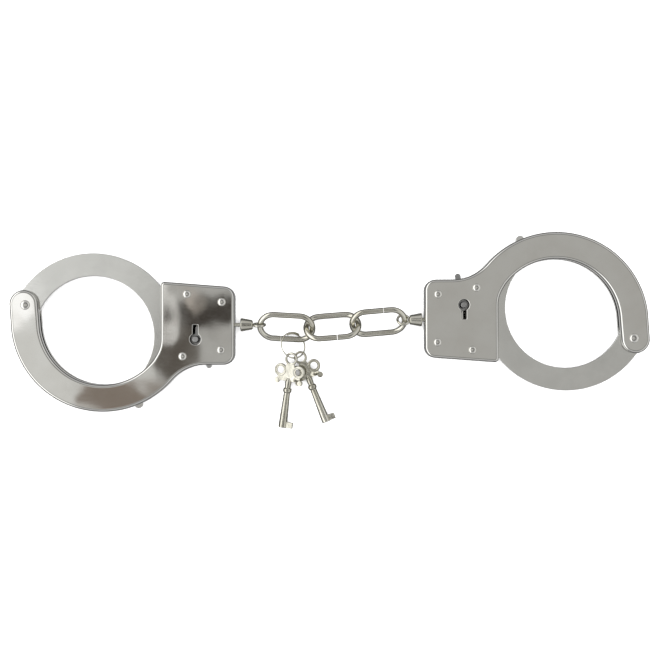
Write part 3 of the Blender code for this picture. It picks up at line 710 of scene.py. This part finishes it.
def build_ring():
    """Wire ring of one and a sixth turns, whose ends lie side by side."""
    steps = 120
    path = []
    for i in range(steps + 1):
        share = i / steps
        degrees = 90 + RING_OVERLAP / 2 - (360 + RING_OVERLAP) * share
        radius = RING_RADIUS + RING_GROWTH * (2 * share - 1)
        path.append((*polar((0, 0), radius, degrees), 0))
    ring = tube("ring", path, RING_WIRE, 16)
    normal = Vector((-RING_SLOPE[0], -RING_SLOPE[1], 1)).normalized()
    turn = normal.to_track_quat("Z", "Y").to_matrix()
    first = turn @ Vector((1, 0, 0))
    spin = Matrix.Rotation(-math.atan2(first.y, first.x), 4, "Z")
    where = Matrix.Translation((RING_CENTRE + SHIFT) * MM) @ turn.to_4x4() @ spin
    finish_piece(placed(ring, where), "key_ring", "key_ring", CHAIN_LOOK)


def make_key():
    """Hollow-barrel key in the XY plane: collar at the origin, bow towards +Y, bit at the tip."""
    tip = -KEY_BARREL_LENGTH
    profile = [(KEY_BARREL_TIP - 0.15, tip), (KEY_BARREL_TIP, tip + 0.2), (KEY_BARREL_NECK, -1.2),
               (KEY_COLLAR - 0.3, -1.0), (KEY_COLLAR, -0.6), (KEY_COLLAR, 0.5),
               (KEY_COLLAR - 0.3, 0.9), (1.3, 1.1), (1.5, 4.0), (0.7, 5.6)]
    upright = Matrix.Rotation(math.radians(-90), 4, "X")
    shaft = placed(lathe("shaft", rounded(profile, 0.3), sides=40), upright)
    bore = placed(lathe("bore", [(KEY_BORE, tip - 1), (KEY_BORE, tip + KEY_BORE_DEPTH)], sides=32),
                  upright)
    web = [(-1.6, 12.6), (-2.6, 9.0), (-5.2, 6.2), (-6.0, 4.2), (6.0, 4.2), (5.2, 6.2), (2.6, 9.0),
           (1.6, 12.6)]
    steps = [("UNION", prism("web", web, -KEY_WEB, KEY_WEB))]
    rings = [(0.0, KEY_TOP_RING_Y), KEY_SIDE_RING, (-KEY_SIDE_RING[0], KEY_SIDE_RING[1])]
    half = KEY_PLATE / 2
    middle = (KEY_RING_OUTER + KEY_RING_HOLE) / 2
    for x, y in rings:
        circle = [(x + middle * math.cos(a), y + middle * math.sin(a), 0)
                  for a in [2 * math.pi * i / 40 for i in range(40)]]
        steps.append(("UNION", tube("eye", circle, half, 14, closed=True)))
    for point in rings[1:]:
        flange = [(0.6, -KEY_FLANGE), (middle, -KEY_FLANGE), (middle, KEY_FLANGE),
                  (0.6, KEY_FLANGE)]
        steps.append(("UNION", lathe("flange", flange, at=point, sides=40)))
    for sign in (-1, 1):
        lug = lathe("lug", rounded([(0.6, -0.5), (1.3, -0.5), (1.3, 0.5), (0.6, 0.5)], 0.4),
                    at=(sign * KEY_LUG[0], KEY_LUG[1]), sides=28)
        steps.append(("UNION", lug))
    bit = [(KEY_BORE + 0.2, tip + 0.1), (KEY_BIT_REACH, tip + 0.1), (KEY_BIT_REACH, tip + 2.8),
           (KEY_BORE + 0.2, tip + 2.8)]
    steps.append(("UNION", prism("bit", bit, -half, half, 0.15)))
    steps.append(("DIFFERENCE", vertical_hole(rings[0], KEY_RING_HOLE, -1, 1)))
    for point in rings[1:]:
        steps.append(("DIFFERENCE", vertical_hole(point, KEY_SIDE_HOLE, -1, 1)))
    steps.append(("DIFFERENCE", bore))
    return combine("key", shaft, steps)


def build_keys():
    for name, key in KEYS.items():
        turn = (Matrix.Rotation(math.radians(key["turn"]), 4, "Z")
                @ Matrix.Rotation(math.radians(key["pitch"]), 4, "X")
                @ Matrix.Rotation(math.radians(-key["roll"]), 4, "Y"))
        where = Matrix.Translation((Vector(key["collar"]) + SHIFT) * MM) @ turn
        finish_piece(placed(make_key(), where), name, name, KEY_LOOK)


def dress_nodes():
    """The lock's inner pieces keep their own meshes and get a material."""
    for side in CUFFS:
        for name, look in (("_pawl", LOCK_LOOK), ("_pawl_spring", SPRING_LOOK)):
            node = frame["nodes"][side + name]
            node.data.materials.clear()
            node.data.materials.append(look)


# ---------------------------------------------------------------- studio
def build_floor():
    mesh = bpy.data.meshes.new("floor")
    reach = 4.0
    corners = [(-reach, -reach, 0), (reach, -reach, 0), (reach, reach, 0), (-reach, reach, 0)]
    mesh.from_pydata(corners, [], [(0, 1, 2, 3)])
    floor = bpy.data.objects.new("floor", mesh)
    bpy.context.scene.collection.objects.link(floor)
    look = bpy.data.materials.new("floor_paper")
    look.use_nodes = True
    nodes = look.node_tree.nodes
    links = look.node_tree.links
    shader = nodes["Principled BSDF"]
    shader.inputs["Roughness"].default_value = 0.9
    shader.inputs["Specular IOR Level"].default_value = 0.1
    fibre = nodes.new("ShaderNodeTexNoise")
    fibre.inputs["Scale"].default_value = 900.0
    tone = nodes.new("ShaderNodeValToRGB")
    tone.color_ramp.elements[0].color = (0.88, 0.88, 0.88, 1)
    tone.color_ramp.elements[1].color = (0.92, 0.92, 0.92, 1)
    links.new(fibre.outputs["Fac"], tone.inputs["Fac"])
    links.new(tone.outputs["Color"], shader.inputs["Base Color"])
    floor.data.materials.append(look)
    floor.visible_glossy = False


# Where a mix node keeps its colour sockets, which share their names with the number ones.
MIX_FIRST = 6
MIX_SECOND = 7
MIX_RESULT = 2

# A height is a direction's z, and a side its x. Lights come in between the two values of a pair.
SKY_BANDS = ((0.0, 0.65), (0.06, 0.3), (0.14, 0.1), (0.29, 0.24), (0.42, 0.08), (0.49, 0.05),
             (0.525, 0.34), (0.65, 0.6), (0.9, 0.6), (0.925, 0.33), (0.95, 0.12), (0.972, 0.12))
CEILING_EDGE = (0.945, 0.96)
CEILING_LEFT = (0.82, 0.82, 0.80)
CEILING_RIGHT = (0.53, 0.525, 0.505)
CEILING_SPLIT = (-0.15, -0.11)
SIDE_LIGHTS = (
    {"colour": (0.85, 0.85, 0.84), "bottom": (0.12, 0.22), "top": (0.84, 0.74), "side": (0.3, 0.6)},
    {"colour": (1.15, 1.15, 1.12), "bottom": (0.12, 0.22), "top": (0.93, 0.88), "side": (-0.32, -0.5)},
    {"colour": (2.0, 2.0, 2.0), "bottom": (0.4, 0.5), "top": (0.82, 0.74), "side": (-0.35, -0.55)},
)
BACKDROP = (0.92, 0.92, 0.92)
LEAST_HEIGHT = 0.05        # a slope is worked out with no less height than this

# Soft patches on the ceiling, placed by the slope east and north of straight up.
PATCH_EDGE = (0.8, 1.2)
PATCH_WOBBLE = 1.1
PATCHES = (
    {"centre": (-0.24, 0.027), "size": (0.022, 0.022), "colour": (1.4, 1.4, 1.4)},
    {"centre": (-0.162, -0.053), "size": (0.036, 0.019), "colour": (0.28, 0.235, 0.20)},
    {"centre": (-0.120, -0.010), "size": (0.018, 0.032), "colour": (0.12, 0.105, 0.09)},
    {"centre": (-0.094, 0.016), "size": (0.027, 0.015), "colour": (0.06, 0.052, 0.045)},
    {"centre": (-0.107, 0.026), "size": (0.006, 0.007), "colour": (0.55, 0.50, 0.45)},
    {"centre": (-0.127, 0.014), "size": (0.004, 0.026), "colour": (0.95, 0.94, 0.92)},
)


def build_sky():
    """Soft studio light all round: grey bands, bright sides and a grey ceiling with soft patches."""
    world = bpy.data.worlds.new("studio")
    bpy.context.scene.world = world
    world.use_nodes = True
    nodes = world.node_tree.nodes
    links = world.node_tree.links
    nodes.clear()
    out = nodes.new("ShaderNodeOutputWorld")
    back = nodes.new("ShaderNodeBackground")
    place = nodes.new("ShaderNodeTexCoord")
    axes = nodes.new("ShaderNodeSeparateXYZ")
    links.new(place.outputs["Generated"], axes.inputs["Vector"])
    x, y, z = (axes.outputs[name] for name in "XYZ")

    def calculate(operation, *values):
        node = nodes.new("ShaderNodeMath")
        node.operation = operation
        for socket, value in zip(node.inputs, values):
            if isinstance(value, (int, float)):
                socket.default_value = value
            else:
                links.new(value, socket)
        return node.outputs[0]

    def rise(value, low, high):
        node = nodes.new("ShaderNodeMapRange")
        node.interpolation_type = "SMOOTHSTEP"
        node.inputs["From Min"].default_value = low
        node.inputs["From Max"].default_value = high
        links.new(value, node.inputs["Value"])
        return node.outputs["Result"]

    def blend(share, first, second):
        node = nodes.new("ShaderNodeMix")
        node.data_type = "RGBA"
        links.new(share, node.inputs["Factor"])
        for number, value in ((MIX_FIRST, first), (MIX_SECOND, second)):
            if isinstance(value, tuple):
                node.inputs[number].default_value = (*value, 1)
            else:
                links.new(value, node.inputs[number])
        return node.outputs[MIX_RESULT]

    bands = nodes.new("ShaderNodeValToRGB")
    stops = bands.color_ramp.elements
    for position, value in SKY_BANDS:
        stops.new(position).color = (value, value, value, 1)
    stops.remove(stops[-1])
    links.new(calculate("MULTIPLY_ADD", z, 0.5, 0.5), bands.inputs["Fac"])
    sides = bands.outputs["Color"]
    for light in SIDE_LIGHTS:
        level = calculate("MULTIPLY", rise(z, *light["bottom"]), rise(z, *light["top"]))
        share = calculate("MULTIPLY", level, rise(x, *light["side"]))
        sides = blend(share, sides, light["colour"])

    height = calculate("MAXIMUM", z, LEAST_HEIGHT)
    slope_x = calculate("DIVIDE", x, height)
    slope_y = calculate("DIVIDE", y, height)
    warp = nodes.new("ShaderNodeTexNoise")
    warp.inputs["Scale"].default_value = 40.0
    warp.inputs["Detail"].default_value = 2.0
    links.new(place.outputs["Generated"], warp.inputs["Vector"])
    wobble = calculate("MULTIPLY", calculate("SUBTRACT", warp.outputs["Fac"], 0.5),
                       PATCH_WOBBLE)
    ceiling = blend(rise(slope_x, *CEILING_SPLIT), CEILING_LEFT, CEILING_RIGHT)
    for patch in PATCHES:
        (centre_x, centre_y), (size_x, size_y) = patch["centre"], patch["size"]
        away_x = calculate("DIVIDE", calculate("SUBTRACT", slope_x, centre_x), size_x)
        away_y = calculate("DIVIDE", calculate("SUBTRACT", slope_y, centre_y), size_y)
        reach = calculate("SQRT", calculate("ADD", calculate("MULTIPLY", away_x, away_x),
                                            calculate("MULTIPLY", away_y, away_y)))
        edge = rise(calculate("ADD", reach, wobble), *PATCH_EDGE)
        ceiling = blend(edge, patch["colour"], ceiling)
    sky = blend(rise(z, *CEILING_EDGE), sides, ceiling)
    path = nodes.new("ShaderNodeLightPath")
    links.new(blend(path.outputs["Is Camera Ray"], sky, BACKDROP), back.inputs["Color"])
    links.new(back.outputs["Background"], out.inputs["Surface"])


def build_lamp(name, location, size, power):
    lamp = bpy.data.lights.new(name, "AREA")
    lamp.shape = "RECTANGLE"
    lamp.size = size[0]
    lamp.size_y = size[1]
    lamp.energy = power
    holder = bpy.data.objects.new(name, lamp)
    holder.location = location
    aim = Vector((0, 0, 0)) - Vector(location)
    holder.rotation_euler = aim.to_track_quat("-Z", "Y").to_euler()
    holder.visible_glossy = False
    bpy.context.scene.collection.objects.link(holder)


def build_camera():
    """Straight above the chain, looking down, with POINT_SIZE millimetres to an image point."""
    field = IMAGE_SIDE * POINT_SIZE * MM
    face = (TAIL_HEIGHT + CUFF_THICKNESS) * MM
    camera = bpy.data.cameras.new("camera")
    camera.sensor_width = SENSOR
    camera.lens = SENSOR * (CAMERA_HEIGHT - face) / field
    camera.clip_start = 0.01
    holder = bpy.data.objects.new("camera", camera)
    holder.location = (SHIFT.x * MM, SHIFT.y * MM, CAMERA_HEIGHT)
    bpy.context.scene.collection.objects.link(holder)
    bpy.context.scene.camera = holder


for cuff_side, cuff_setting in CUFFS.items():
    build_cuff(cuff_side, cuff_setting)
build_chain()
build_ring()
build_keys()
dress_nodes()
build_floor()
build_sky()
build_lamp("overhead_softbox", (0.0, 0.1, 1.2), (1.6, 1.6), 40.0)
build_camera()
bpy.context.scene.view_settings.view_transform = "Standard"
